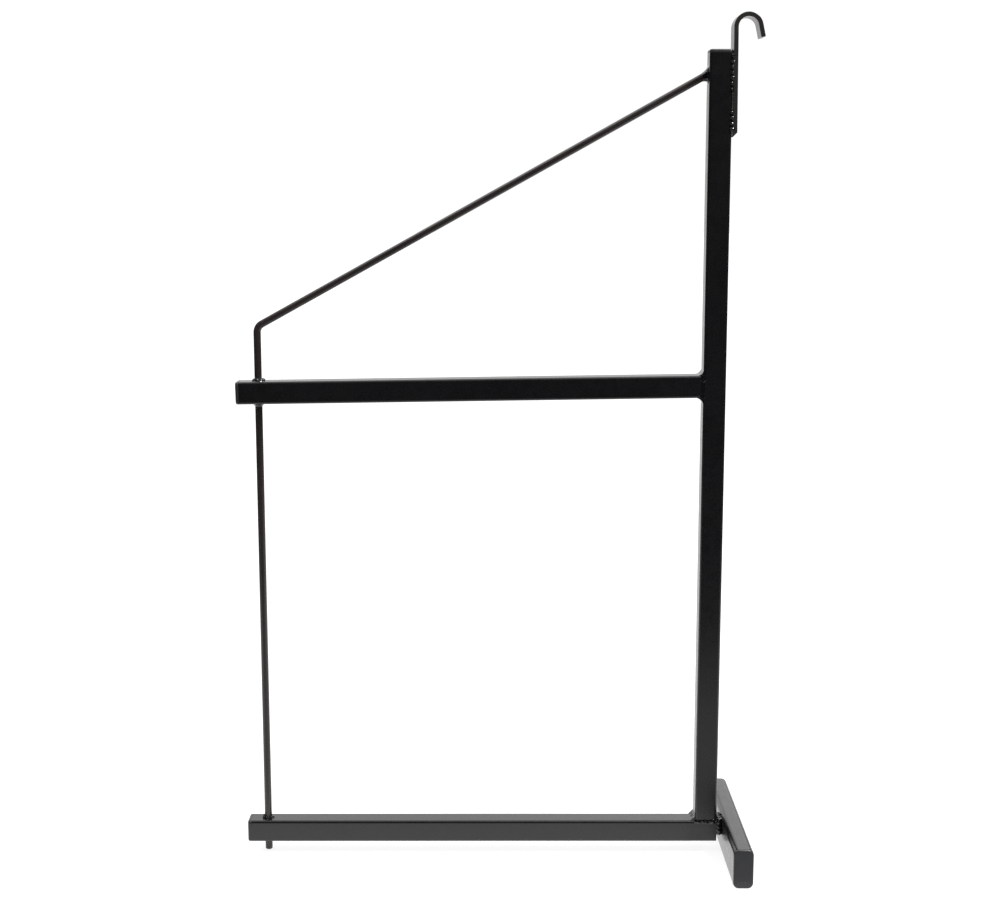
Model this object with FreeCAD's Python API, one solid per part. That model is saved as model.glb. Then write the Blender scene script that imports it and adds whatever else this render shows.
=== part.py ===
import FreeCAD, Part
import math
import os

# Welded steel valet frame: a square-tube post with two arms, a bent brace rod, a hook and a cross foot.
# Millimetres, +Z up. The origin is the middle of the cross foot's underside, on the floor.
# The arms reach towards -X, the cross foot runs along Y and the hook opens towards +X.

# square tube of the post and both arms
tube_size = 25.4
tube_corner = 3.0
tube_wall = 1.5

# cross foot, a taller tube standing on its narrow side
foot_width = 22.4
foot_height = 45.0
foot_corner = 6.0
foot_wall = 1.5
foot_tube_length = 218.0

# layout of the frame
post_to_foot_gap = 5.9
arm_lift = 13.7
post_length = 874.8
lower_arm_length = 543.8
mid_arm_length = 520.4
mid_arm_height = 548.9
mid_arm_droop = 0.81

# brace rod: up from just above the floor through both arms, one bend, then across to the post
rod_diameter = 8.3
rod_floor_gap = 0.8
rod_from_post = 512.2
rod_bend_height = 615.5
rod_bend_radius = 11.0
rod_slope = 28.93
rod_end_chamfer = 0.8
rod_hole_clearance = 0.15

# hook, a flat bar as wide as the post
hook_thickness = 4.9
hook_stand_off = 0.5
hook_inner_radius = 11.0
hook_bottom_height = 823.5
hook_arc_height = 940.8
hook_flare = 12.0
hook_lip = 14.0
hook_lean = 0.5
hook_edge_round = 0.5
hook_long_edge = 7.5

# moulded plugs that close the tube ends
cap_head = 4.0
cap_edge_round = 1.8
cap_corner_extra = 0.4
plug_depth = 12.0
plug_gap = 0.7
plug_wall = 1.6
rib_count = 3
rib_thickness = 1.2
rib_gap = 0.1

# weld metal
weld_hollow = 0.22
weld_root = 0.6
arm_weld_leg = 7.0
foot_of_post_leg = 5.0
seam_bead_radius = 3.0
seam_bead_proud = 1.0
seam_start_inset = 1.5
seam_end_inset = 2.5
rod_weld_leg = 4.2
rod_weld_height = 5.0
low_rod_weld_height = 3.5
rod_post_weld_leg = 6.5
pin_weld_leg = 2.0
pin_weld_height = 1.2
foot_weld_top = 3.0
foot_weld_bottom = 4.2
foot_weld_inset = 0.8
foot_weld_corner = 3.5
foot_bead_radius = 3.4
foot_bead_inset = 2.6
hook_bead_radius = 2.4
hook_bead_inset = 1.7
hook_upper_weld = (873.0, 912.0)
hook_lower_weld = (830.0, 852.0)

# working allowances for cuts that must pass right through
cut_overrun = 1.0
edge_tolerance = 0.01      # for picking edges by where they lie
least_inner_corner = 0.4

half = tube_size / 2
corner_run_width = tube_size - tube_corner
post_x = -foot_width / 2 - post_to_foot_gap - half
post_left = post_x - half
post_right = post_x + half
post_bottom = arm_lift + tube_size
post_top = post_bottom + post_length
rod_x = post_x - rod_from_post
lower_arm_axis = arm_lift + half


def point(x, y, z):
    return FreeCAD.Vector(x, y, z)


def outline(width, height, corner):
    """Closed rounded rectangle in the local XY plane, centred on the origin."""
    x = width / 2
    y = height / 2
    diagonal = corner * (1 - math.sqrt(0.5))
    edges = []
    for turn in range(4):
        sides = (x, y) if turn % 2 == 0 else (y, x)
        start = point(sides[0], -sides[1] + corner, 0)
        end = point(sides[0], sides[1] - corner, 0)
        middle = point(sides[0] - diagonal, sides[1] - diagonal, 0)
        arc_end = point(sides[0] - corner, sides[1], 0)
        side = Part.LineSegment(start, end).toShape()
        arc = Part.Arc(end, middle, arc_end).toShape()
        for edge in (side, arc):
            edge.rotate(point(0, 0, 0), point(0, 0, 1), 90 * turn)
            edges.append(edge)
    return Part.Wire(edges)


def bar(width, height, corner, length, start=0.0):
    """Solid rounded bar along local +Z from start."""
    face = Part.Face(outline(width, height, corner))
    solid = face.extrude(point(0, 0, length))
    solid.translate(point(0, 0, start))
    return solid


def tube(width, height, corner, wall, length):
    inner_corner = max(corner - wall, least_inner_corner)
    bore_length = length + 2 * cut_overrun
    bore = bar(width - 2 * wall, height - 2 * wall, inner_corner, bore_length, -cut_overrun)
    return bar(width, height, corner, length).cut(bore)


def placed(shape, base, x_dir, y_dir, z_dir):
    """Copy of a shape whose local axes are laid along the given world directions."""
    rotation = FreeCAD.Rotation(point(*x_dir), point(*y_dir), point(*z_dir), "ZXY")
    moved = shape.copy()
    moved.Placement = FreeCAD.Placement(point(*base), rotation) * shape.Placement
    return moved


def stand_up(shape, base):
    return placed(shape, base, (1, 0, 0), (0, 1, 0), (0, 0, 1))


def reach_left(shape, base):
    return placed(shape, base, (0, -1, 0), (0, 0, 1), (-1, 0, 0))


def face_back(shape, base):
    return placed(shape, base, (-1, 0, 0), (0, 0, 1), (0, 1, 0))


def face_front(shape, base):
    return placed(shape, base, (1, 0, 0), (0, 0, 1), (0, -1, 0))


def droop(shape):
    """Turn about the middle arm's root so that its free end hangs lower."""
    moved = shape.copy()
    moved.rotate(point(post_left, 0, mid_arm_height), point(0, 1, 0), -mid_arm_droop)
    return moved


def box(low, high):
    size = [b - a for a, b in zip(low, high)]
    return Part.makeBox(size[0], size[1], size[2], point(*low))


def rod_holes(z_low, z_high):
    radius = rod_diameter / 2 + rod_hole_clearance
    return Part.makeCylinder(radius, z_high - z_low, point(rod_x, 0, z_low))


def post_tube():
    return stand_up(tube(tube_size, tube_size, tube_corner, tube_wall, post_length), (post_x, 0, post_bottom))


def lower_arm_tube():
    body = tube(tube_size, tube_size, tube_corner, tube_wall, lower_arm_length)
    arm = reach_left(body, (post_right, 0, lower_arm_axis))
    return arm.cut(rod_holes(0, post_bottom + cut_overrun))


def mid_arm_blank(overlap):
    """Outer shape of the middle arm, started this far inside the post before it is trimmed."""
    body = bar(tube_size, tube_size, tube_corner, mid_arm_length + overlap, -overlap)
    return droop(reach_left(body, (post_left, 0, mid_arm_height)))


def mid_arm_tube():
    length = mid_arm_length + cut_overrun
    body = tube(tube_size, tube_size, tube_corner, tube_wall, length)
    arm = droop(reach_left(body, (post_left + cut_overrun, 0, mid_arm_height)))
    arm = arm.cut(box((post_left, -tube_size, 0), (post_right, tube_size, post_top)))
    return arm.cut(rod_holes(mid_arm_height - tube_size, mid_arm_height + tube_size))


def foot_tube():
    body = tube(foot_width, foot_height, foot_corner, foot_wall, foot_tube_length)
    return face_back(body, (0, -foot_tube_length / 2, foot_height / 2))


def rod_path():
    turn = math.radians(90 - rod_slope)
    tangent = rod_bend_radius * math.tan(turn / 2)
    bend_start = point(rod_x, 0, rod_bend_height - tangent)
    centre_x = rod_x + rod_bend_radius

    def on_bend(angle):
        x = centre_x - rod_bend_radius * math.cos(angle)
        z = bend_start.z + rod_bend_radius * math.sin(angle)
        return point(x, 0, z)

    bend_end = on_bend(turn)
    run = post_x - bend_end.x
    rod_end = point(post_x, 0, bend_end.z + run * math.tan(math.radians(rod_slope)))
    upright = Part.LineSegment(point(rod_x, 0, rod_floor_gap), bend_start).toShape()
    bend = Part.Arc(bend_start, on_bend(turn / 2), bend_end).toShape()
    slope = Part.LineSegment(bend_end, rod_end).toShape()
    return Part.Wire([upright, bend, slope])


def solid_rod():
    profile = Part.Wire(Part.makeCircle(rod_diameter / 2, point(rod_x, 0, rod_floor_gap), point(0, 0, 1)))
    return rod_path().makePipeShell([profile], True, False)


def brace_rod():
    rod = solid_rod()
    rod = rod.cut(box((post_left, -half, post_bottom), (post_right, half, post_top)))
    foot_end = [e for e in rod.Edges if e.BoundBox.ZMax < rod_floor_gap + edge_tolerance]
    return rod.makeChamfer(rod_end_chamfer, foot_end)


def hook_profile():
    inner_x = post_right + hook_stand_off
    outer_x = inner_x + hook_thickness
    centre_x = outer_x + hook_inner_radius
    outer_radius = hook_inner_radius + hook_thickness
    flare = math.radians(hook_flare)
    half_way = math.radians(90 + hook_flare / 2)

    def on_arc(radius, angle):
        x = centre_x + radius * math.cos(angle)
        return point(x, 0, hook_arc_height + radius * math.sin(angle))

    down = point(math.sin(flare), 0, -math.cos(flare)) * hook_lip
    corners = [
        point(inner_x, 0, hook_bottom_height),
        point(inner_x, 0, hook_arc_height),
        on_arc(outer_radius, flare),
        on_arc(outer_radius, flare) + down,
        on_arc(hook_inner_radius, flare) + down,
        on_arc(hook_inner_radius, flare),
        point(outer_x, 0, hook_arc_height),
        point(outer_x, 0, hook_bottom_height + hook_thickness),
    ]
    arc_radius = {1: outer_radius, 5: hook_inner_radius}
    edges = []
    for index, corner in enumerate(corners):
        after = corners[(index + 1) % len(corners)]
        if index in arc_radius:
            edges.append(Part.Arc(corner, on_arc(arc_radius[index], half_way), after).toShape())
        else:
            edges.append(Part.LineSegment(corner, after).toShape())
    return Part.Wire(edges)


def hook_blank():
    blank = Part.Face(hook_profile()).extrude(point(0, tube_size, 0))
    blank.translate(point(0, -half, 0))
    long_edges = []
    for edge in blank.Edges:
        if edge.BoundBox.YLength < edge_tolerance and edge.Length > hook_long_edge:
            long_edges.append(edge)
    return blank.makeFillet(hook_edge_round, long_edges)


def hook_bar():
    """The straight leg leans a little: its lower end stands further from the post."""
    leaning = hook_blank()
    leaning.rotate(point(post_right, 0, post_top), point(0, 1, 0), -hook_lean)
    return leaning


def plug_cap(width, height, corner, wall):
    """Moulded plug for a tube end at local z = 0: a rounded head outside, a ribbed skirt inside."""
    head_corner = corner + cap_corner_extra
    head = bar(width, height, head_corner, cap_head)
    rim = [e for e in head.Edges if e.BoundBox.ZMin > cap_head - edge_tolerance]
    head = head.makeFillet(cap_edge_round, rim)
    inner_width = width - 2 * wall
    inner_height = height - 2 * wall
    inner_corner = max(corner - wall, least_inner_corner)
    skirt_width = inner_width - 2 * plug_gap
    skirt_height = inner_height - 2 * plug_gap
    skirt = bar(skirt_width, skirt_height, inner_corner, plug_depth, -plug_depth)
    hollow_width = skirt_width - 2 * plug_wall
    hollow_height = skirt_height - 2 * plug_wall
    hollow = bar(hollow_width, hollow_height, inner_corner, plug_depth, -plug_depth - plug_wall)
    plug = head.fuse(skirt.cut(hollow))
    pitch = plug_depth / rib_count
    for index in range(rib_count):
        start = -pitch * (index + 0.5) - rib_thickness / 2
        rib_width = inner_width - 2 * rib_gap
        rib_height = inner_height - 2 * rib_gap
        ring = bar(rib_width, rib_height, inner_corner, rib_thickness, start)
        plug = plug.fuse(ring.cut(bar(hollow_width, hollow_height, inner_corner, rib_thickness, start)))
    return plug.removeSplitter()


def square_cap():
    return plug_cap(tube_size, tube_size, tube_corner, tube_wall)


def foot_cap():
    return plug_cap(foot_width, foot_height, foot_corner, foot_wall)


def corner_run(corner, leg, up, width):
    """Weld run along Y in the corner under or over an arm, with a slightly hollow face.

    It starts a little way inside both pieces, and is trimmed to them afterwards."""
    tip_low = corner + point(-leg, 0, 0)
    tip_high = corner + point(0, 0, up * leg)
    root = corner + point(weld_root, 0, -up * weld_root)
    chord = (tip_low + tip_high) * 0.5
    middle = chord + (corner - chord) * weld_hollow
    corners = [tip_high, tip_high + point(weld_root, 0, 0), root, tip_low + point(0, 0, -up * weld_root), tip_low]
    edges = [Part.LineSegment(a, b).toShape() for a, b in zip(corners, corners[1:])]
    edges.append(Part.Arc(tip_low, middle, tip_high).toShape())
    run = Part.Face(Part.Wire(edges)).extrude(point(0, width, 0))
    run.translate(point(0, -width / 2, 0))
    return run


def seam_bead(start, end, radius):
    """Round-ended weld bead along a seam."""
    along = end - start
    bead = Part.makeCylinder(radius, along.Length, start, along)
    for tip in (start, end):
        bead = bead.fuse(Part.makeSphere(radius, tip))
    return bead.removeSplitter()


def collar(radius, leg, height, base, axis):
    """Ring of weld metal round the rod, with a slightly hollow face."""
    root = point(radius, 0, 0)
    outer = point(radius + leg, 0, 0)
    upper = point(radius, 0, height)
    chord = (outer + upper) * 0.5
    edges = [
        Part.LineSegment(root, outer).toShape(),
        Part.Arc(outer, chord + (root - chord) * weld_hollow, upper).toShape(),
        Part.LineSegment(upper, root).toShape(),
    ]
    ring = Part.Face(Part.Wire(edges)).revolve(point(0, 0, 0), point(0, 0, 1), 360)
    ring.Placement = FreeCAD.Placement(point(*base), FreeCAD.Rotation(point(0, 0, 1), point(*axis)))
    return ring


def filled_post():
    return stand_up(bar(tube_size, tube_size, tube_corner, post_length), (post_x, 0, post_bottom))


def filled_lower_arm():
    return reach_left(bar(tube_size, tube_size, tube_corner, lower_arm_length), (post_right, 0, lower_arm_axis))


def filled_foot():
    body = bar(foot_width, foot_height, foot_corner, foot_tube_length)
    return face_back(body, (0, -foot_tube_length / 2, foot_height / 2))


def without(shape, *others):
    for other in others:
        shape = shape.cut(other)
    return shape


def both_sides(bead):
    """The same bead on the front and on the back of the frame."""
    back = bead.mirror(point(0, 0, 0), point(0, 1, 0))
    return [bead, back]


def fused(shapes):
    whole = shapes[0]
    for shape in shapes[1:]:
        whole = whole.fuse(shape)
    return whole.removeSplitter()


def flush_seam(start, end):
    """Low bead over a seam between two faces that are flush at y = -half."""
    y = -half + seam_bead_radius - seam_bead_proud
    return seam_bead(point(start[0], y, start[1]), point(end[0], y, end[1]), seam_bead_radius)


def weld_post_to_lower_arm():
    inside = corner_run(point(post_left, 0, post_bottom), foot_of_post_leg, 1, corner_run_width)
    start = (post_left + seam_start_inset, post_bottom)
    end = (post_right - seam_end_inset, post_bottom)
    seams = both_sides(flush_seam(start, end))
    return without(fused([inside] + seams), filled_post(), filled_lower_arm())


def weld_mid_arm_to_post():
    top = corner_run(point(post_left, 0, mid_arm_height + half), arm_weld_leg, 1, corner_run_width)
    bottom = corner_run(point(post_left, 0, mid_arm_height - half), arm_weld_leg, -1, corner_run_width)
    reach = half - seam_start_inset
    seams = both_sides(flush_seam((post_left, mid_arm_height - reach), (post_left, mid_arm_height + reach)))
    return without(fused([top, bottom] + seams), filled_post(), mid_arm_blank(cut_overrun))


def rod_line_at_post():
    turn = math.radians(90 - rod_slope)
    tangent = rod_bend_radius * math.tan(turn / 2)
    bend_end_x = rod_x + tangent * math.cos(math.radians(rod_slope))
    bend_end_z = rod_bend_height + tangent * math.sin(math.radians(rod_slope))
    return bend_end_z + (post_left - bend_end_x) * math.tan(math.radians(rod_slope))


def weld_rod_to_post():
    """Cone of weld metal between the sloping rod and the post's face."""
    radius = rod_diameter / 2
    z = rod_line_at_post()
    base = (post_left, 0, z)
    cone = Part.makeCone(radius + rod_post_weld_leg, radius, rod_post_weld_leg, point(*base), point(-1, 0, 0))
    cone.rotate(point(*base), point(0, 1, 0), rod_slope / 2)
    return without(cone, filled_post(), solid_rod())


def mid_arm_face(side):
    """Height of the middle arm's top (+1) or bottom (-1) face where the rod passes through."""
    angle = math.radians(mid_arm_droop)
    return mid_arm_height - (post_left - rod_x) * math.tan(angle) + side * half / math.cos(angle)


def weld_rod_at_mid_arm(side):
    radius = rod_diameter / 2
    z = mid_arm_face(side)
    ring = collar(radius, rod_weld_leg, rod_weld_height, (rod_x, 0, z), (0, 0, side))
    return without(ring, mid_arm_blank(0.0))


def weld_rod_above_lower_arm():
    radius = rod_diameter / 2
    return collar(radius, rod_weld_leg, low_rod_weld_height, (rod_x, 0, post_bottom), (0, 0, 1))


def weld_rod_below_lower_arm():
    radius = rod_diameter / 2
    return collar(radius, pin_weld_leg, pin_weld_height, (rod_x, 0, arm_lift), (0, 0, -1))


def weld_foot_to_lower_arm():
    """Built-up weld that bridges the gap between the lower arm's end and the cross foot."""
    foot_left = -foot_width / 2
    low = arm_lift + foot_weld_bottom
    high = post_bottom + foot_weld_top
    centre_z = (low + high) / 2
    centre_x = (post_right + foot_left) / 2
    run = post_to_foot_gap + 2 * foot_weld_inset
    block = bar(tube_size - 2 * foot_weld_inset, high - low, foot_weld_corner, run)
    bridge = reach_left(block, (foot_left + foot_weld_inset, 0, centre_z))
    side = half - foot_bead_inset
    bottom = low + foot_bead_inset
    top = high - foot_bead_inset
    front_bead = seam_bead(point(centre_x, -side, bottom), point(centre_x, -side, top), foot_bead_radius)
    top_bead = seam_bead(point(centre_x, -side, top), point(centre_x, side, top), foot_bead_radius)
    beads = both_sides(front_bead) + [top_bead]
    neighbours = [filled_lower_arm(), filled_post(), filled_foot(), weld_post_to_lower_arm()]
    return without(fused([bridge] + beads), *neighbours)


def hook_weld(span):
    """Front and back beads in the groove between the post's rounded corner and the hook's edge."""
    x = post_right + hook_stand_off / 2
    y = -half + hook_bead_inset
    low = point(x, y, span[0] + hook_bead_radius)
    high = point(x, y, span[1] - hook_bead_radius)
    beads = both_sides(seam_bead(low, high, hook_bead_radius))
    trimmed = [without(bead, filled_post(), hook_bar()) for bead in beads]
    return Part.makeCompound(trimmed)


pieces = {
    "post_tube": post_tube(),
    "mid_arm_tube": mid_arm_tube(),
    "lower_arm_tube": lower_arm_tube(),
    "foot_tube": foot_tube(),
    "brace_rod": brace_rod(),
    "hook_bar": hook_bar(),
    "post_cap": stand_up(square_cap(), (post_x, 0, post_top)),
    "mid_arm_cap": droop(reach_left(square_cap(), (post_left - mid_arm_length, 0, mid_arm_height))),
    "lower_arm_cap": reach_left(square_cap(), (post_right - lower_arm_length, 0, lower_arm_axis)),
    "foot_cap_front": face_front(foot_cap(), (0, -foot_tube_length / 2, foot_height / 2)),
    "foot_cap_back": face_back(foot_cap(), (0, foot_tube_length / 2, foot_height / 2)),
    "weld_post_to_lower_arm": weld_post_to_lower_arm(),
    "weld_mid_arm_to_post": weld_mid_arm_to_post(),
    "weld_rod_to_post": weld_rod_to_post(),
    "weld_rod_above_mid_arm": weld_rod_at_mid_arm(1),
    "weld_rod_below_mid_arm": weld_rod_at_mid_arm(-1),
    "weld_rod_above_lower_arm": weld_rod_above_lower_arm(),
    "weld_rod_below_lower_arm": weld_rod_below_lower_arm(),
    "weld_foot_to_lower_arm": weld_foot_to_lower_arm(),
    "weld_hook_upper": hook_weld(hook_upper_weld),
    "weld_hook_lower": hook_weld(hook_lower_weld),
}

os.makedirs("parts", exist_ok=True)
for name, shape in pieces.items():
    shape.exportStep(os.path.join("parts", name + ".step"))
    print(name, "valid", shape.isValid(), "solids", len(shape.Solids), "mm3", round(shape.Volume, 1))
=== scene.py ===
import math
import bmesh
import bpy
from mathutils import Matrix, Vector, noise


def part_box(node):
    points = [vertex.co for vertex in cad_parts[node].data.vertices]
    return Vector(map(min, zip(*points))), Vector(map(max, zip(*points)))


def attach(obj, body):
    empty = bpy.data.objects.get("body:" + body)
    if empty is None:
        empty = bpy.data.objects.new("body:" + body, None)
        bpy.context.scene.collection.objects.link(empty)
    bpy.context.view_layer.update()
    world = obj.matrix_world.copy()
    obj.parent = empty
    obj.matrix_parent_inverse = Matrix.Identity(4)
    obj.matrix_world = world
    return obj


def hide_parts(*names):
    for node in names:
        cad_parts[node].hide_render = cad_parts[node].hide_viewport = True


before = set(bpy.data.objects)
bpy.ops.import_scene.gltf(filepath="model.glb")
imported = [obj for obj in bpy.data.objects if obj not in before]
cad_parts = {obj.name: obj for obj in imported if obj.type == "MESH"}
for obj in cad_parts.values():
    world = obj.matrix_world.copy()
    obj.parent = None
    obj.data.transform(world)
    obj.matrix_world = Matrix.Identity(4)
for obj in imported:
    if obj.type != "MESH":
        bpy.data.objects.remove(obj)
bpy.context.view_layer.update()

scene = bpy.context.scene
mm = 0.001

# Where the steel stands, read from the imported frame
postLow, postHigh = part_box("post_tube")
armLow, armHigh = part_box("lower_arm_tube")
midLow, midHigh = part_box("mid_arm_tube")
footLow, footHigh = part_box("foot_tube")
rodLow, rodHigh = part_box("brace_rod")

tubeHalf = (postHigh.y - postLow.y) / 2
tubeSize = 2 * tubeHalf
postMidX = (postLow.x + postHigh.x) / 2
midReach = postLow.x - midLow.x
midDrop = midHigh.z - midLow.z - tubeSize
midSlope = math.atan2(midDrop, midReach)
midRootZ = midHigh.z - tubeHalf
midEndX = postLow.x - (midReach - tubeHalf * math.sin(midSlope)) / math.cos(midSlope)
rodRadius = (rodHigh.y - rodLow.y) / 2
rodX = rodLow.x + rodRadius
armMidZ = (armLow.z + armHigh.z) / 2


# Nodes by hand, for the shaders, the two weld trees and the sky

mixFirst, mixSecond, mixColour = 6, 7, 2    # a colour mix's sockets: first colour, second colour, result


def addNode(tree, kind, inputs=None, **settings):
    node = tree.nodes.new(kind)
    for key, value in settings.items():
        setattr(node, key, value)
    for key, value in (inputs or {}).items():
        if isinstance(value, bpy.types.NodeSocket):
            tree.links.new(value, node.inputs[key])
        else:
            node.inputs[key].default_value = value
    return node


def calc(tree, operation, *values):
    node = addNode(tree, "ShaderNodeMath", dict(enumerate(values)), operation=operation)
    return node.outputs[0]


def calcVector(tree, operation, *values):
    node = addNode(tree, "ShaderNodeVectorMath", dict(enumerate(values)), operation=operation)
    return node.outputs["Value" if operation == "DOT_PRODUCT" else "Vector"]


def scaled(tree, vector, factor):
    node = addNode(tree, "ShaderNodeVectorMath", {0: vector, "Scale": factor}, operation="SCALE")
    return node.outputs[0]


def spread(tree, value, fromLow, fromHigh, toLow=0.0, toHigh=1.0, **settings):
    node = addNode(tree, "ShaderNodeMapRange", {
        "Value": value, "From Min": fromLow, "From Max": fromHigh, "To Min": toLow, "To Max": toHigh}, **settings)
    return node.outputs[0]


def blend(tree, factor, first, second):
    node = addNode(tree, "ShaderNodeMix", {0: factor, mixFirst: first, mixSecond: second}, data_type="RGBA")
    return node.outputs[mixColour]


# Finishes: one shader, with its own looks for each coat

powderLooks = {
    "baseDark": (0.0018, 0.0015, 0.0019, 1),
    "baseLight": (0.0026, 0.0022, 0.0027, 1),
    "wornEdge": (0.0125, 0.0117, 0.0128, 1),
    "patchSize": 14.0,         # noise cells per metre, broad colour drift
    "peelSize": 620.0,         # orange peel of the sprayed powder
    "grainSize": 3400.0,       # fine grain on top of it
    "peelHeight": 0.005 * mm,
    "grainHeight": 0.0012 * mm,
    "roughLow": 0.24,
    "roughHigh": 0.31,
    "edgeRadius": 0.9 * mm,
}

# the hook's flat bar: the coat draws back from its cut edges and looks greyer
hookLooks = dict(
    powderLooks, baseDark=(0.0080, 0.0070, 0.0065, 1), baseLight=(0.0115, 0.0103, 0.0097, 1),
    wornEdge=(0.034, 0.033, 0.032, 1))

# the brace rod took less powder and shows a little brown
rodLooks = dict(powderLooks, baseDark=(0.0080, 0.0058, 0.0053, 1), baseLight=(0.0112, 0.0086, 0.0080, 1))

weldLooks = dict(powderLooks, peelSize=900.0, peelHeight=0.008 * mm, roughLow=0.08, roughHigh=0.15)

plugLooks = {
    "baseDark": (0.0062, 0.0067, 0.0080, 1),
    "baseLight": (0.0090, 0.0096, 0.0112, 1),
    "wornEdge": (0.030, 0.031, 0.033, 1),
    "patchSize": 60.0,
    "peelSize": 1500.0,        # spark-eroded mould texture
    "grainSize": 5200.0,
    "peelHeight": 0.012 * mm,
    "grainHeight": 0.004 * mm,
    "roughLow": 0.36,
    "roughHigh": 0.50,
    "edgeRadius": 0.7 * mm,
}

# how the noises turn into colour drift, gloss and wear: each range is (from, to)
coatShares = {
    "smudgesPerPatch": 7,
    "drift": (0.32, 0.68),        # dark colour to light colour
    "gloss": (0.25, 0.75),        # low roughness to high roughness
    "corner": (0.995, 0.86),      # how far true and rounded normals agree: flat to full corner
    "rub": (0.42, 0.66),          # barely rubbed to fully rubbed
    "leastRub": 0.15,
    "polish": -0.06,              # change of roughness where the coat is worn
    "ior": 1.5,
}


def coatMaterial(name, looks):
    material = bpy.data.materials.new(name)
    material.use_nodes = True
    tree = material.node_tree
    shader = tree.nodes.get("Principled BSDF")
    place = addNode(tree, "ShaderNodeTexCoord").outputs["Object"]

    patches = addNode(tree, "ShaderNodeTexNoise", {
        "Vector": place, "Scale": looks["patchSize"], "Detail": 5.0, "Roughness": 0.6})
    smudges = addNode(tree, "ShaderNodeTexNoise", {
        "Vector": place, "Scale": looks["patchSize"] * coatShares["smudgesPerPatch"],
        "Detail": 4.0, "Roughness": 0.55, "Distortion": 0.6})
    peel = addNode(tree, "ShaderNodeTexNoise", {
        "Vector": place, "Scale": looks["peelSize"], "Detail": 2.0, "Roughness": 0.4})
    grain = addNode(tree, "ShaderNodeTexVoronoi", {
        "Vector": place, "Scale": looks["grainSize"]}, feature="SMOOTH_F1")

    # the corner of a sheet or tube, where the coat is thinner and gets rubbed
    rounded = addNode(tree, "ShaderNodeBevel", {"Radius": looks["edgeRadius"]}, samples=4)
    trueNormal = addNode(tree, "ShaderNodeNewGeometry").outputs["Normal"]
    agree = calcVector(tree, "DOT_PRODUCT", rounded.outputs[0], trueNormal)
    edge = spread(tree, agree, *coatShares["corner"])
    rubbed = spread(tree, smudges.outputs["Fac"], *coatShares["rub"], coatShares["leastRub"], 1.0)
    wear = calc(tree, "MULTIPLY", edge, rubbed)

    drift = spread(tree, patches.outputs["Fac"], *coatShares["drift"])
    base = blend(tree, drift, looks["baseDark"], looks["baseLight"])
    worn = blend(tree, wear, base, looks["wornEdge"])
    tree.links.new(worn, shader.inputs["Base Color"])

    gloss = spread(tree, smudges.outputs["Fac"], *coatShares["gloss"], looks["roughLow"], looks["roughHigh"])
    polished = calc(tree, "MULTIPLY_ADD", wear, coatShares["polish"], gloss)
    tree.links.new(polished, shader.inputs["Roughness"])

    fine = addNode(tree, "ShaderNodeBump", {
        "Strength": 1.0, "Distance": looks["grainHeight"], "Height": grain.outputs["Distance"]})
    coarse = addNode(tree, "ShaderNodeBump", {
        "Strength": 1.0, "Distance": looks["peelHeight"], "Height": peel.outputs["Fac"],
        "Normal": fine.outputs[0]})
    tree.links.new(coarse.outputs[0], shader.inputs["Normal"])
    shader.inputs["IOR"].default_value = coatShares["ior"]
    return material


powderCoat = coatMaterial("powderCoat", powderLooks)
hookCoat = coatMaterial("hookCoat", hookLooks)
rodCoat = coatMaterial("rodCoat", rodLooks)
weldCoat = coatMaterial("weldCoat", weldLooks)
plugPlastic = coatMaterial("plugPlastic", plugLooks)
print("finishes: powder coats, coated weld, plug plastic")


def settlePiece(piece, nodes):
    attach(piece, "root")
    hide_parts(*nodes)


def newPiece(name, mesh, material):
    mesh.materials.clear()
    mesh.materials.append(material)
    mesh.name = name
    piece = bpy.data.objects.new(name, mesh)
    scene.collection.objects.link(piece)
    return piece


def bakeModifiers(helper):
    # evaluated result as a plain mesh; the helper object is thrown away
    bpy.context.view_layer.update()
    depsgraph = bpy.context.evaluated_depsgraph_get()
    mesh = bpy.data.meshes.new_from_object(helper.evaluated_get(depsgraph), depsgraph=depsgraph)
    bpy.data.objects.remove(helper)
    return mesh


def skinToMesh(skin, name):
    mesh = bpy.data.meshes.new(name)
    skin.to_mesh(mesh)
    skin.free()
    return mesh


def joinMeshes(name, meshes):
    together = bmesh.new()
    for mesh in meshes:
        together.from_mesh(mesh)
    return skinToMesh(together, name)


def bridgeLoops(skin, loops):
    # four-sided faces between each loop of points and the next
    for first, second in zip(loops, loops[1:]):
        for index in range(len(first)):
            other = (index + 1) % len(first)
            skin.faces.new((first[index], first[other], second[other], second[index]))


def closeEnds(skin, loops):
    skin.faces.new(loops[0])
    skin.faces.new(list(reversed(loops[-1])))


def skinOver(mesh, cell):
    # one closed skin over overlapping runs of weld metal
    helper = bpy.data.objects.new("skinHelper", mesh)
    scene.collection.objects.link(helper)
    remesh = helper.modifiers.new("skin", "REMESH")
    remesh.mode = "VOXEL"
    remesh.voxel_size = cell
    remesh.use_smooth_shade = True
    settle = helper.modifiers.new("settle", "SMOOTH")
    settle.factor = 0.5
    settle.iterations = 2
    return bakeModifiers(helper)


# Steel that the frame already shapes well

for name in ("post_tube", "mid_arm_tube", "lower_arm_tube", "foot_tube", "hook_bar"):
    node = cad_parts[name]
    node.data.materials.clear()
    node.data.materials.append(hookCoat if name == "hook_bar" else powderCoat)
print("tubes and hook bar coated")


# Brace rod: up through both arms, one bend, then across to the post

rodSizes = {
    "bendHeight": 615.5 * mm,  # where the two straight runs would cross
    "bendRadius": 11.0 * mm,
    "slope": math.radians(28.93),
    "endChamfer": 0.8 * mm,
    "intoPost": 1.0 * mm,
    "sides": 40,
    "bendSteps": 18,
    "straightStep": 12.0 * mm,
}


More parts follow.
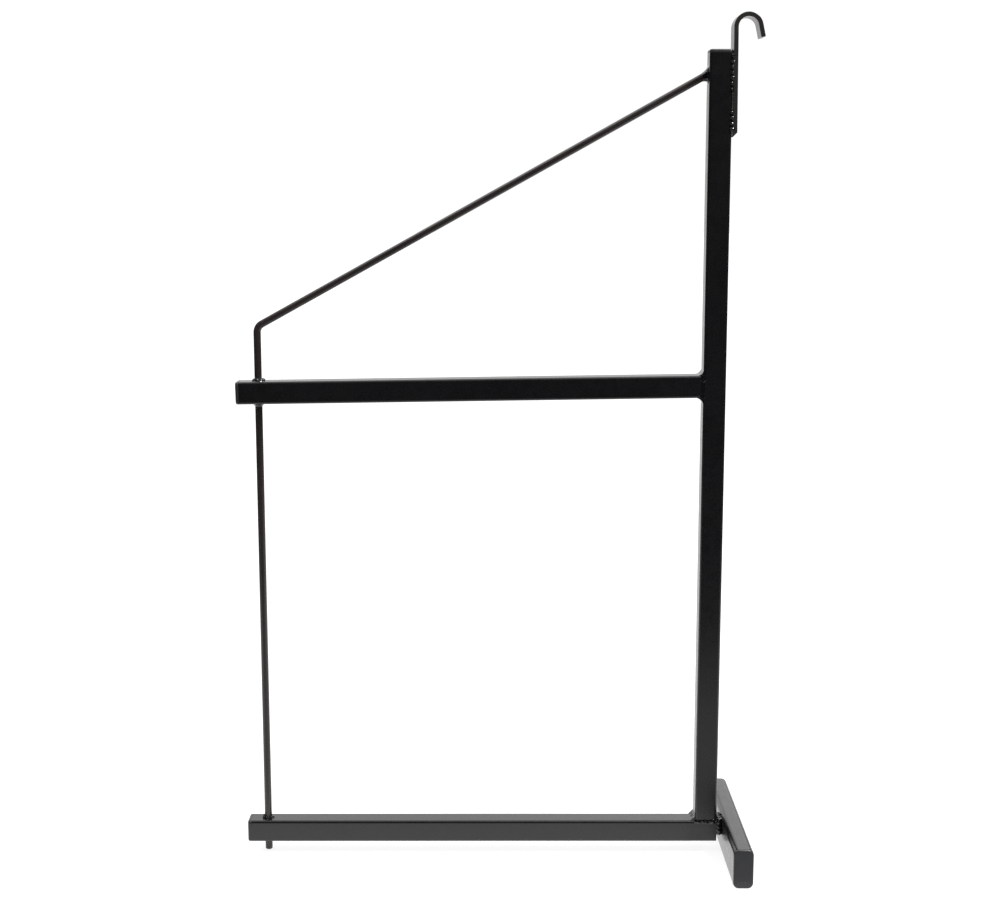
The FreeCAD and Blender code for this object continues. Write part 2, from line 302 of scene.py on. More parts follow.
def rodLine():
    turn = math.pi / 2 - rodSizes["slope"]
    setBack = rodSizes["bendRadius"] * math.tan(turn / 2)
    bendStart = Vector((rodX, 0, rodSizes["bendHeight"] - setBack))
    centre = bendStart + Vector((rodSizes["bendRadius"], 0, 0))
    points = []
    steps = int(bendStart.z / rodSizes["straightStep"])
    foot = Vector((rodX, 0, rodLow.z))
    for step in range(steps):
        points.append(foot.lerp(bendStart, step / steps))
    for step in range(rodSizes["bendSteps"] + 1):
        angle = turn * step / rodSizes["bendSteps"]
        arm = Vector((-math.cos(angle), 0, math.sin(angle)))
        points.append(centre + arm * rodSizes["bendRadius"])
    along = Vector((math.cos(rodSizes["slope"]), 0, math.sin(rodSizes["slope"])))
    run = (postLow.x + rodSizes["intoPost"] - points[-1].x) / along.x
    start = points[-1]
    steps = int(run / rodSizes["straightStep"])
    for step in range(1, steps + 1):
        points.append(start + along * run * step / steps)
    return points, along


rodPoints, rodAlong = rodLine()


def sweepRound(points, radii, sides):
    # closed round skin along a line in the XZ plane
    skin = bmesh.new()
    loops = []
    for index, point in enumerate(points):
        before = points[max(index - 1, 0)]
        after = points[min(index + 1, len(points) - 1)]
        forward = (after - before).normalized()
        sideways = Vector((0, 1, 0))
        upward = forward.cross(sideways)
        loop = []
        for side in range(sides):
            angle = 2 * math.pi * side / sides
            out = sideways * math.cos(angle) + upward * math.sin(angle)
            loop.append(skin.verts.new(point + out * radii[index]))
        loops.append(loop)
    bridgeLoops(skin, loops)
    closeEnds(skin, loops)
    bmesh.ops.recalc_face_normals(skin, faces=skin.faces)
    for face in skin.faces:
        face.smooth = len(face.verts) == 4
    return skinToMesh(skin, "sweep")


chamfer = rodSizes["endChamfer"]
rodRadii = [rodRadius] * (len(rodPoints) + 1)
rodRadii[0] -= chamfer
rodPoints.insert(1, Vector((rodX, 0, rodLow.z + chamfer)))
rodMesh = sweepRound(rodPoints, rodRadii, rodSizes["sides"])
rodPiece = newPiece("braceRod", rodMesh, rodCoat)
settlePiece(rodPiece, ["brace_rod"])
print("brace rod swept through", len(rodPoints), "stations")


# Moulded plugs in the tube ends

capSizes = {
    "head": 4.0 * mm,
    "edgeRound": 1.8 * mm,
    "underRound": 0.35 * mm,
    "cornerExtra": 0.4 * mm,
    "crown": 0.35 * mm,        # how far the middle of the face stands proud of its edge
    "plugDepth": 12.0 * mm,
    "plugGap": 0.7 * mm,
    "plugWall": 1.6 * mm,
    "ribGap": 0.15 * mm,
    "ribHalf": 0.6 * mm,
    "ribTip": 0.5,             # share of a rib's foot that its tip has
    "ribs": 3,
    "floorDepth": 0.6 * mm,    # floor of the skirt's hollow, below the head's underside
    "floorRound": 0.5 * mm,
    "floorReach": 0.93,        # share of the way in to the middle that the floor's ring goes
    "faceReach": 0.97,         # the same for the outer face
    "innerEdge": 0.3 * mm,
    "outerEdge": 0.4 * mm,
    "leastCorner": 0.15 * mm,
    "cornerSteps": 8,
    "underSteps": 3,
    "faceSteps": 7,
    "gateRadius": 1.1 * mm,
    "gateHeight": 0.55 * mm,
    "gateSink": 0.6,           # shares of the crown by which the gate starts lower and rises more
    "gateGain": 0.5,
    "gateSteps": 5,
    "gateSides": 16,
    "gateSpot": (1.5 * mm, -15.5 * mm),
    "mergeGap": 0.002 * mm,
    "tubeWall": 1.5 * mm,
    "tubeCorner": 3.0 * mm,
    "footCorner": 6.0 * mm,
}


def capOutline(width, height, corner, inset):
    # rounded rectangle drawn in, with the same number of points at every inset
    x = width / 2 - inset
    y = height / 2 - inset
    turnRadius = min(max(corner - inset, capSizes["leastCorner"]), x, y)
    points = []
    steps = capSizes["cornerSteps"]
    for quarter, (sx, sy) in enumerate(((1, 1), (-1, 1), (-1, -1), (1, -1))):
        for step in range(steps + 1):
            angle = math.pi / 2 * (quarter + step / steps)
            points.append((sx * (x - turnRadius) + turnRadius * math.cos(angle),
                           sy * (y - turnRadius) + turnRadius * math.sin(angle)))
    return points


def capProfile(wall, shortSide):
    # (inset, depth) stations, from the hollow of the skirt round to the middle of the face
    gap = wall + capSizes["plugGap"]
    depth = capSizes["plugDepth"]
    hollow = gap + capSizes["plugWall"]
    floor = -capSizes["floorDepth"]
    floorRound = capSizes["floorRound"]
    inner = capSizes["innerEdge"]
    outer = capSizes["outerEdge"]
    stations = [(shortSide / 2 * capSizes["floorReach"], floor), (hollow + floorRound, floor),
                (hollow, floor - floorRound), (hollow, inner - depth), (hollow - inner, -depth),
                (gap + outer, -depth), (gap, outer - depth)]
    pitch = depth / capSizes["ribs"]
    half = capSizes["ribHalf"]
    tipHalf = half * capSizes["ribTip"]
    tip = wall + capSizes["ribGap"]
    for rib in reversed(range(capSizes["ribs"])):
        middle = -pitch * (rib + 0.5)
        stations += [(gap, middle - half), (tip, middle - tipHalf), (tip, middle + tipHalf), (gap, middle + half)]
    stations += [(gap, 0.0)]
    under = capSizes["underRound"]
    for step in range(capSizes["underSteps"] + 1):
        angle = math.pi / 2 * step / capSizes["underSteps"]
        stations.append((under * (1 - math.sin(angle)), under * (1 - math.cos(angle))))
    rim = capSizes["edgeRound"]
    top = capSizes["head"] - capSizes["crown"]
    steps = capSizes["faceSteps"]
    for step in range(steps + 1):
        angle = math.pi / 2 * step / steps
        stations.append((rim * (1 - math.cos(angle)), top - rim * (1 - math.sin(angle))))
    reach = shortSide / 2 * capSizes["faceReach"] - rim
    for step in range(1, steps + 1):
        part = step / steps
        stations.append((rim + reach * part, top + capSizes["crown"] * math.sin(part * math.pi / 2)))
    return stations


def gateRings(skin, gate):
    # the little witness left where the plastic was fed into the mould
    steps = capSizes["gateSteps"]
    sides = capSizes["gateSides"]
    base = capSizes["head"] - capSizes["crown"] * capSizes["gateSink"]
    rise = capSizes["gateHeight"] + capSizes["crown"] * capSizes["gateGain"]
    rings = []
    for step in range(steps):
        angle = math.pi / 2 * step / steps
        radius = capSizes["gateRadius"] * math.cos(angle)
        ring = []
        for side in range(sides):
            turn = side * math.pi * 2 / sides
            ring.append(skin.verts.new((gate[0] + radius * math.cos(turn), gate[1] + radius * math.sin(turn),
                                        base + rise * math.sin(angle))))
        rings.append(ring)
    return rings


def capMesh(width, height, corner, wall, gate):
    skin = bmesh.new()
    shortSide = min(width, height)
    loops = []
    for inset, depth in capProfile(wall, shortSide):
        ring = capOutline(width, height, corner + capSizes["cornerExtra"], inset)
        loops.append([skin.verts.new((x, y, depth)) for x, y in ring])
    bridgeLoops(skin, loops)
    for loop, depth in ((loops[0], -capSizes["floorDepth"]), (loops[-1], capSizes["head"])):
        tip = skin.verts.new((0, 0, depth))
        for index in range(len(loop)):
            skin.faces.new((loop[index], loop[(index + 1) % len(loop)], tip))
    if gate:
        rings = gateRings(skin, gate)
        bridgeLoops(skin, rings)
        skin.faces.new(rings[-1])
        skin.faces.new(list(reversed(rings[0])))
    bmesh.ops.remove_doubles(skin, verts=skin.verts, dist=capSizes["mergeGap"])
    bmesh.ops.recalc_face_normals(skin, faces=skin.faces)
    for face in skin.faces:
        face.smooth = True
    return skinToMesh(skin, "cap")


def axesMatrix(base, xAxis, yAxis, zAxis):
    turn = Matrix((xAxis, yAxis, zAxis)).transposed().to_4x4()
    return Matrix.Translation(base) @ turn


midTurn = Matrix.Translation((postLow.x, 0, midRootZ)) @ Matrix.Rotation(-midSlope, 4, "Y")
midTurn = midTurn @ Matrix.Translation((-postLow.x, 0, -midRootZ))
leftWays = ((0, -1, 0), (0, 0, 1), (-1, 0, 0))
tubeCap = (tubeSize, tubeSize, capSizes["tubeCorner"], capSizes["tubeWall"], None)
footCap = (footHigh.x - footLow.x, footHigh.z, capSizes["footCorner"], capSizes["tubeWall"], capSizes["gateSpot"])

capPlaces = {
    "postPlug": ("post_cap", tubeCap, axesMatrix((postMidX, 0, postHigh.z), (1, 0, 0), (0, 1, 0), (0, 0, 1))),
    "midArmPlug": ("mid_arm_cap", tubeCap, midTurn @ axesMatrix((midEndX, 0, midRootZ), *leftWays)),
    "lowerArmPlug": ("lower_arm_cap", tubeCap, axesMatrix((armLow.x, 0, armMidZ), *leftWays)),
    "footPlugFront": ("foot_cap_front", footCap,
                      axesMatrix((0, footLow.y, footHigh.z / 2), (1, 0, 0), (0, 0, 1), (0, -1, 0))),
    "footPlugBack": ("foot_cap_back", footCap,
                     axesMatrix((0, footHigh.y, footHigh.z / 2), (-1, 0, 0), (0, 0, 1), (0, 1, 0))),
}

for name, (node, sizes, place) in capPlaces.items():
    mesh = capMesh(*sizes)
    mesh.transform(place)
    settlePiece(newPiece(name, mesh, plugPlastic), [node])
print("five moulded plugs in the tube ends")


# Weld runs: a section swept along a path, with ripples and lumps in the visible face

treeShapes = {
    "leastSwell": 0.12,          # share of its size that a run has left at its very end
    "swellGain": 0.88,
    "leastTaper": 0.001,         # below this a run doesn't thin out
    "wander": 0.9,               # how far lumps push the ripples along, in ripples
    "dropLeast": (0.76, 0.76, 0.76),
    "dropMost": (1.16, 1.16, 1.16),
    "dropSplits": 4,
}


def openTree(name, sockets):
    # a geometry tree with these inputs, one geometry in and one out
    tree = bpy.data.node_groups.new(name, "GeometryNodeTree")
    for title, kind in [("Geometry", "Geometry")] + sockets:
        tree.interface.new_socket(title, in_out="INPUT", socket_type="NodeSocket" + kind)
    tree.interface.new_socket("Geometry", in_out="OUTPUT", socket_type="NodeSocketGeometry")
    return tree, addNode(tree, "NodeGroupInput").outputs


def closeTree(tree, geometry, coat):
    real = addNode(tree, "GeometryNodeRealizeInstances", {"Geometry": geometry})
    coated = addNode(tree, "GeometryNodeSetMaterial", {"Geometry": real.outputs[0], "Material": coat})
    addNode(tree, "NodeGroupOutput", {"Geometry": coated.outputs[0]})
    return tree


def weldRunTree():
    titles = ("Step", "Ripple Pitch", "Ripple Height", "Ripple Bow", "Lump Size", "Lump Height", "Taper", "Seed")
    tree, given = openTree("weldRun", (
        [("Section", "Object")] + [(title, "Float") for title in titles] + [("Coat", "Material")]))

    line = addNode(tree, "GeometryNodeMeshToCurve", {"Mesh": given["Geometry"]})
    even = addNode(tree, "GeometryNodeResampleCurve", {
        "Curve": line.outputs[0], "Length": given["Step"]}, mode="LENGTH")
    faceWay = addNode(tree, "GeometryNodeInputNamedAttribute", {"Name": "faceWay"}, data_type="FLOAT_VECTOR")
    turned = addNode(tree, "GeometryNodeSetCurveNormal", {
        "Curve": even.outputs[0], "Normal": faceWay.outputs[0]}, mode="FREE")
    spot = addNode(tree, "GeometryNodeSplineParameter")
    withAlong = addNode(tree, "GeometryNodeStoreNamedAttribute", {
        "Geometry": turned.outputs[0], "Name": "along", "Value": spot.outputs["Length"]},
        data_type="FLOAT", domain="POINT")
    withRoot = addNode(tree, "GeometryNodeStoreNamedAttribute", {
        "Geometry": withAlong.outputs[0], "Name": "rootPoint"}, data_type="FLOAT_VECTOR", domain="POINT")
    tree.links.new(addNode(tree, "GeometryNodeInputPosition").outputs[0], withRoot.inputs["Value"])

    # ends thin out over the taper, seen as a share of the run's length
    fromEnd = calc(tree, "MINIMUM", spot.outputs["Factor"], calc(tree, "SUBTRACT", 1.0, spot.outputs["Factor"]))
    share = calc(tree, "DIVIDE", fromEnd, calc(tree, "MAXIMUM", given["Taper"], treeShapes["leastTaper"]))
    full = calc(tree, "MINIMUM", share, 1.0)
    swell = calc(tree, "SQRT", calc(tree, "MULTIPLY_ADD", full, treeShapes["swellGain"], treeShapes["leastSwell"]))
    noTaper = calc(tree, "LESS_THAN", given["Taper"], treeShapes["leastTaper"])
    width = calc(tree, "MAXIMUM", swell, noTaper)

    section = addNode(tree, "GeometryNodeObjectInfo", {"Object": given["Section"]})
    outline = addNode(tree, "GeometryNodeMeshToCurve", {"Mesh": section.outputs["Geometry"]})
    swept = addNode(tree, "GeometryNodeCurveToMesh", {
        "Curve": withRoot.outputs[0], "Profile Curve": outline.outputs[0], "Scale": width, "Fill Caps": True})

    def stored(title, kind="FLOAT"):
        return addNode(tree, "GeometryNodeInputNamedAttribute", {"Name": title}, data_type=kind).outputs[0]

    place = addNode(tree, "GeometryNodeInputPosition").outputs[0]
    fromRoot = calcVector(tree, "SUBTRACT", place, stored("rootPoint", "FLOAT_VECTOR"))
    outward = calcVector(tree, "NORMALIZE", fromRoot)
    lumps = addNode(tree, "ShaderNodeTexNoise", {
        "Vector": place, "W": given["Seed"], "Scale": calc(tree, "DIVIDE", 1.0, given["Lump Size"]),
        "Detail": 2.0, "Roughness": 0.5}, noise_dimensions="4D")
    jitter = calc(tree, "SUBTRACT", lumps.outputs["Fac"], 0.5)
    across = stored("across")
    bow = calc(tree, "MULTIPLY", calc(tree, "MULTIPLY", across, across), given["Ripple Bow"])
    count = calc(tree, "SUBTRACT", calc(tree, "DIVIDE", stored("along"), given["Ripple Pitch"]), bow)
    count = calc(tree, "ADD", count, calc(tree, "MULTIPLY", jitter, treeShapes["wander"]))
    ridge = calc(tree, "ABSOLUTE", calc(tree, "SINE", calc(tree, "MULTIPLY", count, math.pi)))
    rise = calc(tree, "MULTIPLY", calc(tree, "SUBTRACT", ridge, 0.5), given["Ripple Height"])
    swing = calc(tree, "MULTIPLY", calc(tree, "MULTIPLY", jitter, 2.0), given["Lump Height"])
    lift = calc(tree, "MULTIPLY", calc(tree, "ADD", rise, swing), stored("faceShare"))
    rippled = addNode(tree, "GeometryNodeSetPosition", {
        "Geometry": swept.outputs[0], "Offset": scaled(tree, outward, lift)})
    return closeTree(tree, rippled.outputs[0], given["Coat"])


weldTree = weldRunTree()


def weldDropTree():
    # uneven round drops set one after another along a line
    tree, given = openTree("weldDrops", (
        [(title, "Float") for title in ("Spacing", "Radius", "Height", "Jitter")]
        + [("Seed", "Int"), ("Coat", "Material")]))
    line = addNode(tree, "GeometryNodeMeshToCurve", {"Mesh": given["Geometry"]})
    even = addNode(tree, "GeometryNodeResampleCurve", {
        "Curve": line.outputs[0], "Length": given["Spacing"]}, mode="LENGTH")
    shift = addNode(tree, "FunctionNodeRandomValue", {
        0: (-1.0, -1.0, -1.0), 1: (1.0, 1.0, 1.0), "Seed": given["Seed"]}, data_type="FLOAT_VECTOR")
    moved = addNode(tree, "GeometryNodeSetPosition", {
        "Geometry": even.outputs[0], "Offset": scaled(tree, shift.outputs[0], given["Jitter"])})
    girth = addNode(tree, "FunctionNodeRandomValue", {
        0: treeShapes["dropLeast"], 1: treeShapes["dropMost"], "Seed": given["Seed"]}, data_type="FLOAT_VECTOR")
    mean = addNode(tree, "ShaderNodeCombineXYZ", {0: given["Radius"], 1: given["Radius"], 2: given["Height"]})
    size = calcVector(tree, "MULTIPLY", girth.outputs[0], mean.outputs[0])
    ball = addNode(tree, "GeometryNodeMeshIcoSphere", {"Radius": 1.0, "Subdivisions": treeShapes["dropSplits"]})
    drops = addNode(tree, "GeometryNodeInstanceOnPoints", {
        "Points": moved.outputs[0], "Instance": ball.outputs[0], "Scale": size})
    return closeTree(tree, drops.outputs[0], given["Coat"])


dropTree = weldDropTree()


def lineMesh(name, points, closed, attributes):
    mesh = bpy.data.meshes.new(name)
    edges = [(index, index + 1) for index in range(len(points) - 1)]
    if closed:
        edges.append((len(points) - 1, 0))
    mesh.from_pydata([tuple(point) for point in points], edges, [])
    for title, (kind, values) in attributes.items():
        layer = mesh.attributes.new(title, kind, "POINT")
        for index, value in enumerate(values):
            if kind == "FLOAT":
                layer.data[index].value = value
            else:
                layer.data[index].vector = value
    helper = bpy.data.objects.new(name, mesh)
    scene.collection.objects.link(helper)
    return helper


sectionSizes = {
    "faceSteps": 18,
    "roundSteps": 24,
    "lip": 0.1 * mm,          # how far the root's corners lie inside the two surfaces
    "filletFade": 6,          # power by which ripples fade towards the toes of a fillet
    "beadFade": 4,
    "beadCrown": 0.75,        # below 1 the bead's crown is fuller than a parabola
}

pathSizes = {
    "straightSteps": 8,
    "ringSteps": 48,
    "cornerInset": 1.2 * mm,   # how far a fillet's ends stop short of the tube's sides
    "mergeGap": 0.005 * mm,
}
rootInset = 0.3 * mm
weldCell = 0.26 * mm


def sectionMesh(face, back):
    # face: (x, y, across, share of the ripples); back: the buried corners as (x, y)
    rows = face + [(x, y, 0, 0) for x, y in back]
    return lineMesh("section", [(row[0], row[1], 0) for row in rows], True, {
        "across": ("FLOAT", [row[2] for row in rows]), "faceShare": ("FLOAT", [row[3] for row in rows])})


def faceParts():
    steps = sectionSizes["faceSteps"]
    return [step / steps * 2 - 1 for step in range(steps + 1)]


def filletSection(leg, bulge, root):
    # weld in a square corner: X points out of the corner, the face runs between the two leg ends
    reach = leg * math.sqrt(0.5)
    face = [(reach * (1 + bulge * (1 - part * part)), reach * part, part, 1 - part ** sectionSizes["filletFade"])
            for part in faceParts()]
    lip = reach - sectionSizes["lip"]
    return sectionMesh(face, [(lip, reach + root), (-root, 0), (lip, -reach - root)])


def beadSection(halfWidth, height, root):
    # low bead on a flat seam: X points away from the surface
    face = [(height * (1 - part * part) ** sectionSizes["beadCrown"], halfWidth * part, part,
             1 - part ** sectionSizes["beadFade"]) for part in faceParts()]
    return sectionMesh(face, [(-root, halfWidth), (-root, -halfWidth)])


def roundSection(radius):
    steps = sectionSizes["roundSteps"]
    angles = [2 * math.pi * step / steps for step in range(steps)]
    return sectionMesh([(radius * math.cos(angle), radius * math.sin(angle), math.sin(angle), 1)
                        for angle in angles], [])


def feedModifier(helper, tree, values):
    # inputs go in by the socket's identifier, before anything is evaluated
    grow = helper.modifiers.new("grow", "NODES")
    grow.node_group = tree
    for item in tree.interface.items_tree:
        if item.item_type == "SOCKET" and item.in_out == "INPUT" and item.name in values:
            grow[item.identifier] = values[item.name]


def weldRun(points, faceWays, section, closed=False, step=0.35 * mm, ripplePitch=3.0 * mm,
            rippleHeight=0.35 * mm, rippleBow=0.8, lumpSize=5.0 * mm, lumpHeight=0.5 * mm, taper=0.0, seed=1.0):
    helper = lineMesh("weldPath", points, closed, {"faceWay": ("FLOAT_VECTOR", faceWays)})
    feedModifier(helper, weldTree, {
        "Section": section, "Step": step, "Ripple Pitch": ripplePitch, "Ripple Height": rippleHeight,
        "Ripple Bow": rippleBow, "Lump Size": lumpSize, "Lump Height": lumpHeight, "Taper": taper,
        "Seed": seed, "Coat": weldCoat})
    mesh = bakeModifiers(helper)
    bpy.data.objects.remove(section)
    tidyShell(mesh)
    return mesh


def weldDrops(points, closed=False, spacing=4.0 * mm, radius=2.2 * mm, height=2.2 * mm, jitter=0.4 * mm, seed=1):
    helper = lineMesh("dropPath", points, closed, {})
    feedModifier(helper, dropTree, {
        "Spacing": spacing, "Radius": radius, "Height": height, "Jitter": jitter, "Seed": seed, "Coat": weldCoat})
    mesh = bakeModifiers(helper)
    tidyShell(mesh)
    return mesh


def tidyShell(mesh):
    skin = bmesh.new()
    skin.from_mesh(mesh)
    bmesh.ops.remove_doubles(skin, verts=skin.verts, dist=pathSizes["mergeGap"])
    bmesh.ops.recalc_face_normals(skin, faces=skin.faces)
    for face in skin.faces:
        face.smooth = True
    skin.to_mesh(mesh)
    skin.free()


def straightRun(start, end, faceWay):
    steps = pathSizes["straightSteps"]
    points = [Vector(start).lerp(Vector(end), step / steps) for step in range(steps + 1)]
    return points, [Vector(faceWay).normalized()] * (steps + 1)


def ringRun(radius, height, upWay, tilt):
    # circle round the rod on an arm's face; the weld's face looks up and outward
    points = []
    ways = []
    steps = pathSizes["ringSteps"]
    for step in range(steps):
        angle = 2 * math.pi * step / steps
        out = Vector((math.cos(angle), math.sin(angle), 0))
        lift = Vector((0, 0, height + tilt * radius * math.cos(angle)))
        points.append(Vector((rodX, 0, 0)) + out * radius + lift)
        ways.append((out + Vector((0, 0, upWay))).normalized())
    return points, ways


# Middle arm to post: a fillet above and below, a nearly flush seam on each side

midArmWeld = {
    "ends": ((5.4 * mm, 1, 3.0), (6.8 * mm, -1, 5.0)),     # leg, way it faces, seed
    "bulge": -0.28,
    "ripplePitch": 4.2 * mm,
    "rippleHeight": 0.25 * mm,
    "lumpHeight": 0.55 * mm,
    "sides": ((-1, 7.0), (1, 9.0)),                        # side, seed
    "seamHalf": 3.2 * mm,
    "seamHeight": 0.10 * mm,
    "endHeight": 0.60 * mm,
    "seamInset": 0.05 * mm,
    "seamShift": 0.5 * mm,
    "seamStop": 1 * mm,
    "topEnd": 8 * mm,
    "bottomEnd": 5 * mm,
    "seamRoot": 0.6 * mm,
    "seamPitch": 3.2 * mm,
    "seamLump": 3.0 * mm,
    "seamTaper": 0.35,
    "bottomShare": 0.5,        # share of the top end's height that the bottom end has
    "rippleShare": 0.6,        # of the seam's height
    "lumpShare": 0.9,
}


def cornerY(sign):
    return sign * (tubeHalf - pathSizes["cornerInset"])


def midArmWeldMesh():
    sizes = midArmWeld
    top = midHigh.z
    bottom = midRootZ - tubeHalf
    runs = []
    for leg, up, seed in sizes["ends"]:
        height = top if up > 0 else bottom
        points, ways = straightRun((postLow.x, cornerY(-1), height), (postLow.x, cornerY(1), height), (-1, 0, up))
        runs.append(weldRun(
            points, ways, filletSection(leg, sizes["bulge"], rootInset), ripplePitch=sizes["ripplePitch"],
            rippleHeight=sizes["rippleHeight"], lumpHeight=sizes["lumpHeight"], seed=seed))
    stop = sizes["seamStop"]
    spans = ((bottom + stop, top - stop, sizes["seamHeight"]),
             (top - sizes["topEnd"], top + stop, sizes["endHeight"]),
             (bottom - stop, bottom + sizes["bottomEnd"], sizes["endHeight"] * sizes["bottomShare"]))
    for side, seed in sizes["sides"]:
        x = postLow.x - sizes["seamShift"]
        y = side * (tubeHalf - sizes["seamInset"])
        for low, high, height in spans:
            points, ways = straightRun((x, y, low), (x, y, high), (0, side, 0))
            runs.append(weldRun(
                points, ways, beadSection(sizes["seamHalf"], height, sizes["seamRoot"]),
                ripplePitch=sizes["seamPitch"], rippleHeight=height * sizes["rippleShare"],
                lumpSize=sizes["seamLump"], lumpHeight=height * sizes["lumpShare"],
                taper=sizes["seamTaper"], seed=seed))
    return runs


# Post to lower arm: a fillet in the inner corner and a bead along the front and back seams

postFootWeld = {
    "leg": 5.2 * mm,
    "bulge": -0.05,
    "seed": 11.0,
    "sides": ((-1, 13.0), (1, 15.0)),
    "seamHalf": 3.2 * mm,
    "seamHeight": 1.2 * mm,
    "seamDrop": 1.1 * mm,
    "seamInset": 0.15 * mm,
    "seamStart": 1 * mm,
    "seamStop": 1.5 * mm,
    "seamRoot": 0.8 * mm,
    "ripples": {"ripplePitch": 8.5 * mm, "rippleHeight": 0.8 * mm, "rippleBow": 0.5, "lumpSize": 3.0 * mm,
                "lumpHeight": 0.7 * mm, "taper": 0.08},
}


def postFootWeldMesh():
    sizes = postFootWeld
    points, ways = straightRun((postLow.x, cornerY(-1), postLow.z), (postLow.x, cornerY(1), postLow.z), (-1, 0, 1))
    runs = [weldRun(points, ways, filletSection(sizes["leg"], sizes["bulge"], rootInset), seed=sizes["seed"])]
    for side, seed in sizes["sides"]:
        y = side * (tubeHalf - sizes["seamInset"])
        z = postLow.z - sizes["seamDrop"]
        start = (postLow.x - sizes["seamStart"], y, z)
        points, ways = straightRun(start, (postHigh.x - sizes["seamStop"], y, z), (0, side, 0))
        section = beadSection(sizes["seamHalf"], sizes["seamHeight"], sizes["seamRoot"])
        runs.append(weldRun(points, ways, section, seed=seed, **sizes["ripples"]))
    return runs


# Rod through the arms: a collar on each face, with drops round the upper two

rodCollar = {
    "inset": 0.1 * mm,
    "step": 0.3 * mm,
    "ripplePitch": 2.6 * mm,
    "rippleHeight": 0.3 * mm,
    "lumpSize": 4.0 * mm,
    "dropRise": 0.35,         # share of its radius by which a drop sits off the face
    "jitter": 0.5 * mm,
}


def collarMesh(height, up, leg, bulge, seed, tilt, lumpHeight, drops=None):
    points, ways = ringRun(rodRadius - rodCollar["inset"], height, up, tilt)
    runs = [weldRun(
        points, ways, filletSection(leg, bulge, rootInset), closed=True, step=rodCollar["step"],
        ripplePitch=rodCollar["ripplePitch"], rippleHeight=rodCollar["rippleHeight"],
        lumpSize=rodCollar["lumpSize"], lumpHeight=lumpHeight, seed=seed)]
    if drops:
        ringRadius, dropRadius, spacing, dropSeed = drops
        points, ways = ringRun(ringRadius, height + up * dropRadius * rodCollar["dropRise"], up, tilt)
        runs.append(weldDrops(points, closed=True, spacing=spacing, radius=dropRadius, height=dropRadius,
                              jitter=rodCollar["jitter"], seed=dropSeed))
    return runs


# Rod to post: a flare of weld metal from the sloping rod out on to the post's face

rodPostWeld = {
    "upLeg": 5.2 * mm,
    "downLeg": 7.4 * mm,
    "rodLeg": 7.0 * mm,
    "hollow": 0.42,
    "lump": 0.8 * mm,
    "lumpScale": 300,
    "fineScale": 640,
    "fineShare": 0.6,
    "tuck": 0.4 * mm,         # how far each end dives into the steel
    "rounds": 56,
    "steps": 14,
}


def rodPostWeldMesh():
    sizes = rodPostWeld
    slope = rodSizes["slope"]
    meetZ = (postLow.x - rodPoints[-2].x) * math.tan(slope) + rodPoints[-2].z
    centre = Vector((postLow.x, 0, meetZ))
    skin = bmesh.new()
    loops = []
    for step in range(-1, sizes["steps"] + 2):
        part = min(max(step / sizes["steps"], 0), 1)
        loop = []
        for turn in range(sizes["rounds"]):
            angle = 2 * math.pi * turn / sizes["rounds"]
            upright = math.cos(angle)
            inFace = Vector((0, math.sin(angle), upright))
            across = Vector((-math.sin(slope) * upright, math.sin(angle), math.cos(slope) * upright))
            leg = sizes["upLeg"] if upright > 0 else sizes["downLeg"]
            faceLeg = sizes["upLeg"] + (leg - sizes["upLeg"]) * abs(upright)
            rodLeg = sizes["rodLeg"] + rodRadius * math.tan(slope) * max(-upright, 0)
            corner = centre + inFace * rodRadius / math.cos(slope) ** abs(upright)
            onFace = corner + inFace * faceLeg
            onRod = centre - rodAlong * rodLeg + across * rodRadius
            point = onFace.lerp(onRod, part)
            point = point.lerp(corner, sizes["hollow"] * math.sin(part * math.pi))
            bump = noise.noise(point * sizes["lumpScale"])
            bump += sizes["fineShare"] * noise.noise(point * sizes["fineScale"])
            point += (point - corner).normalized() * bump * sizes["lump"] * math.sin(part * math.pi)
            if step < 0:
                point += Vector((sizes["tuck"], 0, 0))
            if step > sizes["steps"]:
                point -= across * sizes["tuck"]
            loop.append(skin.verts.new(point))
        loops.append(loop)
    bridgeLoops(skin, loops)
    closeEnds(skin, loops)
    mesh = skinToMesh(skin, "rodPostWeld")
    tidyShell(mesh)
    return [mesh]


# Lower arm to cross foot: built-up weld that fills the gap between them

footWeld = {
    "low": armLow.z + 4.2 * mm,
    "high": armHigh.z + 3.0 * mm,
    "radius": 3.7 * mm,
    "inset": 2.6 * mm,
    "bend": 3.0 * mm,
    "riseSteps": 6,
    "bendSteps": 5,
    "faceLift": 4 * mm,
    "ripples": {"ripplePitch": 3.6 * mm, "rippleHeight": 0.6 * mm, "rippleBow": 0.6, "lumpSize": 4.5 * mm,
                "lumpHeight": 1.0 * mm, "taper": 0.06, "seed": 21.0},
    "dropStart": (2.5 * mm, 1.5 * mm, 2.2 * mm),    # from the run's upper corner, as X, Y, Z
    "dropEnd": (3.5 * mm, 2.4 * mm),                # from the run's middle, as X, Z
    "dropReach": 0.2,
    "drops": {"spacing": 4.5 * mm, "radius": 2.0 * mm, "jitter": 0.8 * mm, "seed": 4},
    "overlap": 0.8 * mm,
}


